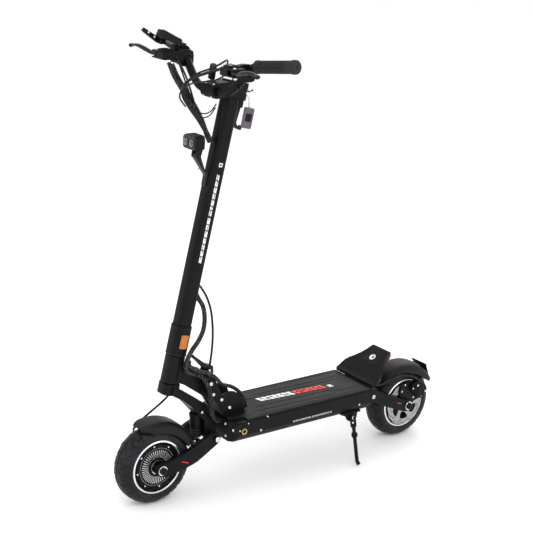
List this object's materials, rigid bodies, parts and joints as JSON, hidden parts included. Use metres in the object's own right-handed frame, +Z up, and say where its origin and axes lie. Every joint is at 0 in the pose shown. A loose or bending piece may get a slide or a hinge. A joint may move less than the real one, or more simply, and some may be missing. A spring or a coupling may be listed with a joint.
{
  "type": "electric kick scooter",
  "caption": "Folding electric kick scooter with hub-motor wheels, sprung swing arms, a wide ribbed deck, rear kickplate, side kickstand and a raised handlebar cockpit.",
  "frame": {"origin": "on the ground under the middle of the machine's overall length and width", "axes": "+X towards the front wheel, +Y to the rider's left, +Z up; both wheels and the kickstand foot stand on Z = 0, the steering points straight ahead"},
  "size_m": [1.1187, 0.6168, 1.263],
  "materials": {
    "black_coated_alloy": "matt black powder coat or anodising on aluminium alloy",
    "black_coated_steel": "black coated steel",
    "bare_alloy": "machined aluminium",
    "steel": "brushed stainless steel",
    "black_plastic": "matt black moulded plastic",
    "black_rubber": "black moulded rubber",
    "tyre": "black tyre rubber",
    "braided_sleeve": "black braided cable sleeve",
    "cable_jacket": "smooth black cable jacket",
    "red_plastic": "red moulded plastic",
    "orange_plastic": "orange reflector plastic",
    "card_plastic": "printed plastic tags on a steel ring",
    "battery_wrap": "shrink-wrapped battery pack"
  },
  "bodies": {
    "deck": {"deck_shell": "black_coated_alloy", "deck_lid": "black_rubber", "battery_pack": "battery_wrap", "motor_controller": "bare_alloy", "charge_port": "steel", "hinge_bracket": "black_coated_alloy", "kickplate": "black_coated_alloy", "tail_light": "red_plastic", "kickstand_bracket": "black_coated_steel", "rear_shock_body": "black_coated_alloy"},
    "kickstand": {"kickstand_leg": "black_coated_alloy"},
    "neck": {"neck": "black_coated_alloy", "head_bearing_lower": "steel", "head_bearing_upper": "steel", "neck_loom": "braided_sleeve"},
    "latch": {"latch_lever": "black_coated_alloy"},
    "safety_button": {"safety_button": "red_plastic"},
    "steering": {"fork": "black_coated_alloy", "stem_base": "black_coated_alloy", "reflector_left": "orange_plastic", "reflector_right": "orange_plastic", "stem_tube": "black_coated_alloy", "headlight_bracket": "black_coated_alloy", "handlebar": "black_coated_alloy", "bar_clamp": "black_coated_alloy", "grip_left": "black_rubber", "grip_right": "black_rubber", "lever_perch_left": "black_plastic", "lever_perch_right": "black_plastic", "display_pod": "black_plastic", "loom_right": "braided_sleeve", "loom_left": "cable_jacket", "stem_loom": "braided_sleeve", "front_shock_body": "black_coated_alloy", "front_brake_hose": "cable_jacket"},
    "headlight": {"headlight": "black_plastic"},
    "hook": {"folding_hook": "black_coated_steel"},
    "brake_lever_left": {"brake_lever_left": "black_coated_alloy"},
    "brake_lever_right": {"brake_lever_right": "black_coated_alloy"},
    "throttle": {"throttle_paddle": "black_plastic"},
    "mode_button": {"mode_button": "black_plastic"},
    "key_tags": {"key_tags": "card_plastic"},
    "front_arm": {"front_arm": "black_coated_alloy", "front_axle": "steel", "front_fender": "black_plastic", "front_caliper": "black_coated_alloy"},
    "front_shock": {"front_shock_rod": "steel", "front_shock_sleeve": "black_rubber"},
    "front_wheel": {"front_tyre": "tyre", "front_rim": "bare_alloy", "front_motor_cover": "black_coated_alloy", "front_brake_disc": "steel"},
    "rear_arm": {"rear_arm": "black_coated_alloy", "rear_axle": "steel", "rear_fender": "black_plastic", "rear_caliper": "black_coated_alloy"},
    "rear_shock": {"rear_shock_rod": "steel"},
    "rear_wheel": {"rear_tyre": "tyre", "rear_rim": "bare_alloy", "rear_brake_disc": "steel"}
  },
  "joints": [
    {"name": "fold", "type": "hinge", "parent": "deck", "child": "neck", "pos_m": [0.2932, 0, 0.3273], "axis": [0, -1, 0], "range_deg": [0, 84], "deforming": ["neck_loom"]},
    {"name": "steer", "type": "hinge", "parent": "neck", "child": "steering", "pos_m": [0.38487, 0, 0.4], "axis": [-0.2053, 0, 0.9787], "range_deg": [-45, 45], "deforming": ["stem_loom"]},
    {"name": "latch_open", "type": "hinge", "parent": "neck", "child": "latch", "pos_m": [0.28013, 0, 0.3538], "axis": [0, 1, 0], "range_deg": [0, 14], "stiffness_Nm_per_rad": 1.5, "springref_deg": -8.59},
    {"name": "safety_press", "type": "slide", "parent": "latch", "child": "safety_button", "axis": [0.9787, 0, 0.2053], "range_m": [0, 0.0035], "stiffness_N_per_m": 600, "springref_m": -0.001},
    {"name": "headlight_tilt", "type": "hinge", "parent": "steering", "child": "headlight", "pos_m": [0.3367, 0, 0.958], "axis": [0, 1, 0], "range_deg": [-12, 12]},
    {"name": "hook_swing", "type": "hinge", "parent": "steering", "child": "hook", "pos_m": [0.20774, 0, 1.08348], "axis": [0, 1, 0], "range_deg": [0, 60], "stiffness_Nm_per_rad": 0.3, "springref_deg": -17.19},
    {"name": "brake_left", "type": "hinge", "parent": "steering", "child": "brake_lever_left", "pos_m": [0.3527, 0.178, 1.197], "axis": [0, 0, 1], "range_deg": [0, 18], "stiffness_Nm_per_rad": 1, "springref_deg": -5.73},
    {"name": "brake_right", "type": "hinge", "parent": "steering", "child": "brake_lever_right", "pos_m": [0.3527, -0.178, 1.197], "axis": [0, 0, -1], "range_deg": [0, 18], "stiffness_Nm_per_rad": 1, "springref_deg": -5.73},
    {"name": "throttle_press", "type": "hinge", "parent": "steering", "child": "throttle", "pos_m": [0.3387, -0.1907, 1.228], "axis": [0, 1, 0], "range_deg": [0, 25], "stiffness_Nm_per_rad": 0.4, "springref_deg": -8.59},
    {"name": "mode_press", "type": "slide", "parent": "steering", "child": "mode_button", "axis": [0.4439, 0, -0.8961], "range_m": [0, 0.0014], "stiffness_N_per_m": 400, "springref_m": -0.001},
    {"name": "key_swing", "type": "hinge", "parent": "steering", "child": "key_tags", "pos_m": [0.2587, 0.113, 1.1385], "axis": [1, 0, 0], "range_deg": [-12, 12]},
    {"name": "front_bump", "type": "hinge", "parent": "steering", "child": "front_arm", "pos_m": [0.2774, 0, 0.1671], "axis": [0, -1, 0], "range_deg": [-3, 8], "stiffness_Nm_per_rad": 900, "springref_deg": -1.15, "deforming": ["front_brake_hose", "front_shock_sleeve"]},
    {"name": "front_shock_stroke", "type": "slide", "parent": "steering", "child": "front_shock", "axis": [0.0504, 0, 0.9987], "range_m": [-0.002, 0.0045]},
    {"name": "front_roll", "type": "hinge", "parent": "front_arm", "child": "front_wheel", "pos_m": [0.4487, 0, 0.11066], "axis": [0, 1, 0], "continuous": true},
    {"name": "rear_bump", "type": "hinge", "parent": "deck", "child": "rear_arm", "pos_m": [-0.2893, 0, 0.176], "axis": [0, 1, 0], "range_deg": [-3, 8], "stiffness_Nm_per_rad": 900, "springref_deg": -1.43},
    {"name": "rear_shock_stroke", "type": "slide", "parent": "deck", "child": "rear_shock", "axis": [0.9906, 0, 0.1366], "range_m": [-0.002, 0.004]},
    {"name": "rear_roll", "type": "hinge", "parent": "rear_arm", "child": "rear_wheel", "pos_m": [-0.4473, 0, 0.11066], "axis": [0, 1, 0], "continuous": true},
    {"name": "kickstand_swing", "type": "hinge", "parent": "deck", "child": "kickstand", "pos_m": [-0.1893, 0.092, 0.14], "axis": [0, 0.9685, 0.249], "range_deg": [0, 90]}
  ],
  "couplings": [
    {"joint": "front_shock_stroke", "follows": "front_bump", "m_per_rad": 0.02943},
    {"joint": "rear_shock_stroke", "follows": "rear_bump", "m_per_rad": 0.02589}
  ]
}
